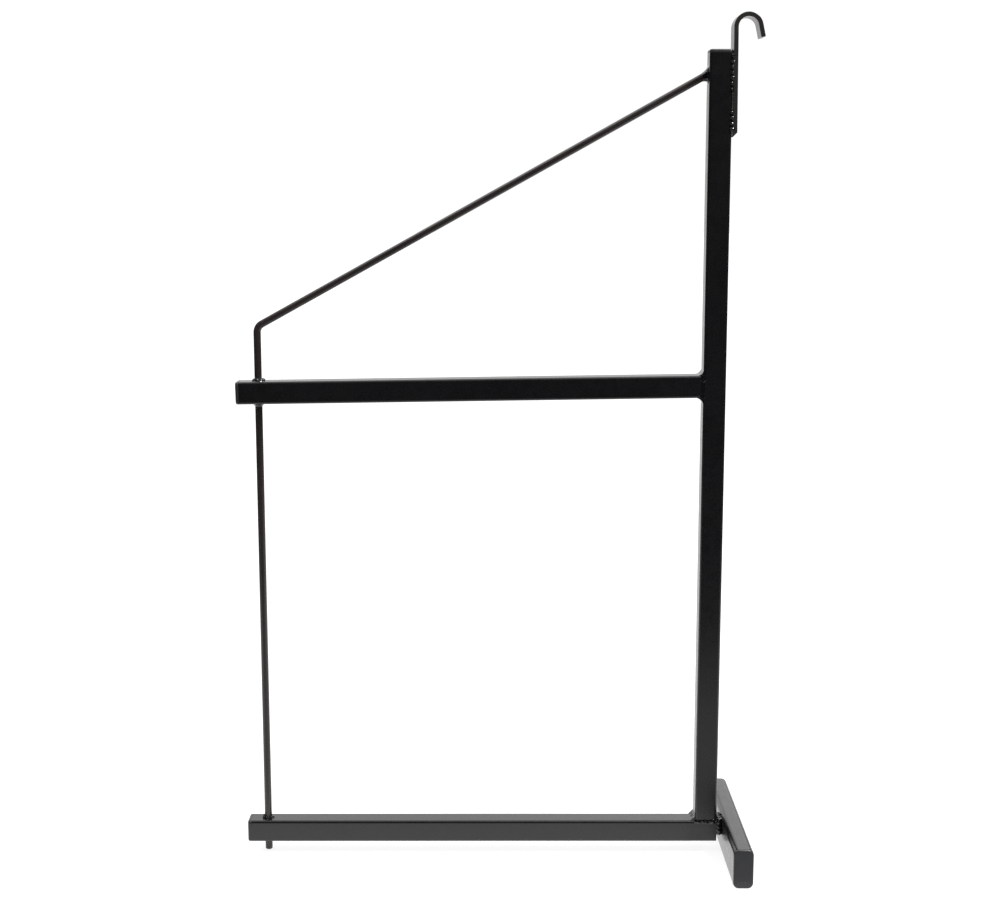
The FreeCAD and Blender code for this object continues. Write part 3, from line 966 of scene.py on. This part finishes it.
def footWeldMesh():
    sizes = footWeld
    middleX = (postHigh.x + footLow.x) / 2
    y = tubeHalf - sizes["inset"]
    low = sizes["low"] + sizes["radius"]
    high = sizes["high"] - sizes["radius"]
    bend = sizes["bend"]
    rise = high - bend - low
    steps = sizes["riseSteps"]
    points = [Vector((middleX, -y, low + rise * step / steps)) for step in range(steps + 1)]
    for step in range(1, sizes["bendSteps"] + 1):
        angle = math.pi / 2 * step / sizes["bendSteps"]
        points.append(Vector((middleX, -y + bend * (1 - math.cos(angle)), high - bend + bend * math.sin(angle))))
    back = [Vector((point.x, -point.y, point.z)) for point in reversed(points)]
    points += [Vector((middleX, 0, high))] + back
    centreZ = (low + high) / 2
    ways = [Vector((0, point.y, point.z - centreZ + sizes["faceLift"])).normalized() for point in points]
    runs = [weldRun(points, ways, roundSection(sizes["radius"]), **sizes["ripples"])]
    # a few drops that ran over on to the foot's shoulder
    outX, inY, upZ = sizes["dropStart"]
    farX, farZ = sizes["dropEnd"]
    dropLine = [(middleX + outX, -y + inY, high + upZ), (middleX + farX, y * sizes["dropReach"], high + farZ)]
    runs.append(weldDrops(dropLine, **sizes["drops"]))
    # filler between the runs
    filler = bmesh.new()
    bmesh.ops.create_cube(filler, size=1.0)
    gap = footLow.x - postHigh.x + sizes["overlap"]
    for vert in filler.verts:
        vert.co = (middleX + vert.co.x * gap, vert.co.y * 2 * y, centreZ + vert.co.z * (high - low))
    return runs + [skinToMesh(filler, "filler")]


# Hook bar to post: two stitches of drops down each side

hookWelds = {
    "upper": (873.0 * mm, 912.0 * mm),
    "lower": (830.0 * mm, 852.0 * mm),
    "radius": 1.8 * mm,
    "inset": (0.1 * mm, 1.6 * mm),       # from the post's right face and from its front or back face
    "ripples": {"ripplePitch": 6.0 * mm, "rippleHeight": 0.12 * mm, "lumpSize": 9.0 * mm,
                "lumpHeight": 0.3 * mm, "taper": 0.08},
    "dropProud": 0.6 * mm,
    "drops": {"spacing": 5.6 * mm, "radius": 2.4 * mm, "height": 1.9 * mm, "jitter": 0.5 * mm},
}


def hookWeldMesh(span, seed):
    runs = []
    radius = hookWelds["radius"]
    insetX, insetY = hookWelds["inset"]
    for side in (-1, 1):
        x = postHigh.x - insetX
        y = side * (tubeHalf - insetY)
        points, ways = straightRun((x, y, span[0] + radius), (x, y, span[1] - radius), (0, side, 0))
        runs.append(weldRun(points, ways, roundSection(radius), seed=seed + side, **hookWelds["ripples"]))
        outer = [point + Vector((0, side * hookWelds["dropProud"], 0)) for point in points]
        runs.append(weldDrops(outer, seed=int(seed) + side, **hookWelds["drops"]))
    return runs


midLean = math.tan(midSlope)
midFaceZ = midRootZ - (postLow.x - rodX) * midLean
armFaceReach = tubeHalf / math.cos(midSlope)
midTopZ = midFaceZ + armFaceReach
midUnderZ = midFaceZ - armFaceReach

# height, way the face looks, leg, bulge, seed, tilt, lump height, and for a ring of drops: its radius, the
# drops' radius, their spacing and their seed
rodCollars = {
    "weldRodAboveMidArm": (midTopZ, 1, 3.4 * mm, 0.0, 31.0, midLean, 0.6 * mm, (4.6 * mm, 2.5 * mm, 4.2 * mm, 6)),
    "weldRodBelowMidArm": (midUnderZ, -1, 4.0 * mm, -0.25, 33.0, midLean, 0.3 * mm),
    "weldRodAboveLowerArm": (armHigh.z, 1, 2.4 * mm, -0.1, 35.0, 0.0, 0.5 * mm, (5.4 * mm, 1.7 * mm, 5.2 * mm, 3)),
    "weldRodBelowLowerArm": (armLow.z, -1, 1.6 * mm, 0.0, 37.0, 0.0, 0.3 * mm),
}

weldPieces = {
    "weldMidArm": (midArmWeldMesh(), "weld_mid_arm_to_post"),
    "weldPostFoot": (postFootWeldMesh(), "weld_post_to_lower_arm"),
    "weldRodPost": (rodPostWeldMesh(), "weld_rod_to_post"),
    "weldRodAboveMidArm": (collarMesh(*rodCollars["weldRodAboveMidArm"]), "weld_rod_above_mid_arm"),
    "weldRodBelowMidArm": (collarMesh(*rodCollars["weldRodBelowMidArm"]), "weld_rod_below_mid_arm"),
    "weldRodAboveLowerArm": (collarMesh(*rodCollars["weldRodAboveLowerArm"]), "weld_rod_above_lower_arm"),
    "weldRodBelowLowerArm": (collarMesh(*rodCollars["weldRodBelowLowerArm"]), "weld_rod_below_lower_arm"),
    "weldCrossFoot": (footWeldMesh(), "weld_foot_to_lower_arm"),
    "weldHookUpper": (hookWeldMesh(hookWelds["upper"], 41.0), "weld_hook_upper"),
    "weldHookLower": (hookWeldMesh(hookWelds["lower"], 45.0), "weld_hook_lower"),
}

for name, (runs, node) in weldPieces.items():
    mesh = skinOver(joinMeshes(name, runs), weldCell)
    for polygon in mesh.polygons:
        polygon.use_smooth = True
    settlePiece(newPiece(name, mesh, weldCoat), [node])
    print("weld", name, len(mesh.polygons), "faces")


# The room: a lit white floor, six cards that paint reflections into the gloss, a soft sky, a lamp and the camera

floorLooks = {
    "halfSize": 30,
    "noiseScale": 3.0,
    "dark": (0.16, 0.16, 0.16, 1),
    "light": (0.18, 0.18, 0.18, 1),
    "glow": 0.82,              # a lit sweep, so the floor stays white
    "rough": 0.9,
    "specular": 0.2,
}
white = (1.0, 1.0, 1.0, 1)
black = (0.0, 0.0, 0.0, 1)


def stagePiece(name, mesh, looks):
    # a piece of the room, with its shader's inputs set by name
    paint = bpy.data.materials.new(name)
    paint.use_nodes = True
    shader = paint.node_tree.nodes.get("Principled BSDF")
    for title, value in looks.items():
        shader.inputs[title].default_value = value
    mesh.materials.append(paint)
    piece = bpy.data.objects.new(name, mesh)
    scene.collection.objects.link(piece)
    return piece, paint.node_tree, shader


floorSkin = bmesh.new()
bmesh.ops.create_grid(floorSkin, x_segments=1, y_segments=1, size=floorLooks["halfSize"])
floorTree, floorShader = stagePiece("studioFloor", skinToMesh(floorSkin, "studioFloor"), {
    "Emission Color": white, "Emission Strength": floorLooks["glow"], "Roughness": floorLooks["rough"],
    "Specular IOR Level": floorLooks["specular"]})[1:]
floorGrain = addNode(floorTree, "ShaderNodeTexNoise", {"Scale": floorLooks["noiseScale"], "Detail": 4.0})
floorTone = blend(floorTree, floorGrain.outputs["Fac"], floorLooks["dark"], floorLooks["light"])
floorTree.links.new(floorTone, floorShader.inputs["Base Color"])

# painted reflections: cards that only the gloss of the coat sees, the black flags painting dark reflections and the
# glowing cards painting bright reflections; how bright each is, two opposite corners, as (x, y, z)
paintedReflectionCards = {
    "darkFlag": (0.0, (-2.1, -0.74, 0.002), (2.6, -0.74, 2.2)),
    "armCard": (1.55, (-0.80, -0.125, 0.001), (-0.05, -0.018, 0.001)),
    "postCard": (0.80, (-0.80, -0.74, 0.001), (0.30, -0.1255, 0.001)),
    "footCard": (1.32, (-0.031, -0.11, 0.0008), (-0.0115, 0.30, 0.0008)),
    "leftFlag": (0.0, (-1.7, -0.74, 0.002), (-1.7, 2.2, 2.2)),
    "rightFlag": (0.0, (1.1, -0.74, 0.002), (1.1, 2.6, 2.2)),
}


# a sheet seen only in the coat's gloss: a painted reflection, dark for the flags and bright for the glowing cards
def paintedReflectionCard(name, glow, low, high):
    if low[2] == high[2]:
        corners = [low, (high[0], low[1], low[2]), high, (low[0], high[1], low[2])]
    else:
        corners = [low, (high[0], high[1], low[2]), high, (low[0], low[1], high[2])]
    mesh = bpy.data.meshes.new(name)
    mesh.from_pydata(corners, [], [(0, 1, 2, 3)])
    card = stagePiece(name, mesh, {
        "Base Color": black, "Specular IOR Level": 0.0, "Emission Color": white, "Emission Strength": glow})[0]
    # hidden from the camera, from diffuse light and from shadows, so the card only paints a reflection
    card.visible_camera = False
    card.visible_diffuse = False
    card.visible_shadow = False
    card.visible_transmission = False


for name, (glow, low, high) in paintedReflectionCards.items():
    paintedReflectionCard(name, glow, low, high)

# dimmer along the horizon than above it, brighter behind on the right, with a window high on the left
skyLooks = {
    "horizon": 1.03,
    "above": 0.28,             # added above the horizon's band
    "aboveRight": 0.50,        # added there on the right as well
    "window": 1.5,
    "bandEdge": (0.12, 0.36),
    "rightEdge": (0.0, 0.20),
    "windowEdge": (-0.24, -0.38),
}

world = bpy.data.worlds.new("studioAir")
scene.world = world
world.use_nodes = True
airTree = world.node_tree
air = airTree.nodes.get("Background")
air.inputs["Color"].default_value = white
airWay = addNode(airTree, "ShaderNodeSeparateXYZ", {0: addNode(airTree, "ShaderNodeTexCoord").outputs["Generated"]})
higher, rightward, leftward = (
    spread(airTree, airWay.outputs[axis], *skyLooks[edge], interpolation_type="SMOOTHSTEP")
    for axis, edge in (("Z", "bandEdge"), ("X", "rightEdge"), ("X", "windowEdge")))
glow = calc(airTree, "MULTIPLY_ADD", rightward, skyLooks["aboveRight"], skyLooks["above"])
window = calc(airTree, "MULTIPLY", calc(airTree, "MULTIPLY", leftward, higher), skyLooks["window"])
sky = calc(airTree, "MULTIPLY_ADD", higher, glow, skyLooks["horizon"])
airTree.links.new(calc(airTree, "ADD", sky, window), air.inputs["Strength"])

softLight = {"energy": 320.0, "size": 0.50, "place": (1.74, -0.81, 3.46), "aim": (-0.25, 0, 0.45)}
lampData = bpy.data.lights.new("softBox", "AREA")
lampData.shape = "RECTANGLE"
lampData.size = softLight["size"]
lampData.size_y = softLight["size"]
lampData.energy = softLight["energy"]
lamp = bpy.data.objects.new("softBox", lampData)
lamp.location = softLight["place"]
lampWay = Vector(softLight["aim"]) - Vector(softLight["place"])
lamp.rotation_euler = lampWay.to_track_quat("-Z", "Y").to_euler()
scene.collection.objects.link(lamp)

cameraSizes = {"place": (-0.2718, -1.812, 0.763), "lens": 58.3, "sensor": 36.0, "tilt": 80.99, "turn": -0.056}
cameraData = bpy.data.cameras.new("standCamera")
cameraData.lens = cameraSizes["lens"]
cameraData.sensor_width = cameraSizes["sensor"]
camera = bpy.data.objects.new("standCamera", cameraData)
camera.location = cameraSizes["place"]
camera.rotation_euler = (math.radians(cameraSizes["tilt"]), 0, math.radians(cameraSizes["turn"]))
scene.collection.objects.link(camera)
scene.camera = camera
scene.view_settings.view_transform = "Standard"
print("floor, cards, sky, lamp and camera in place")
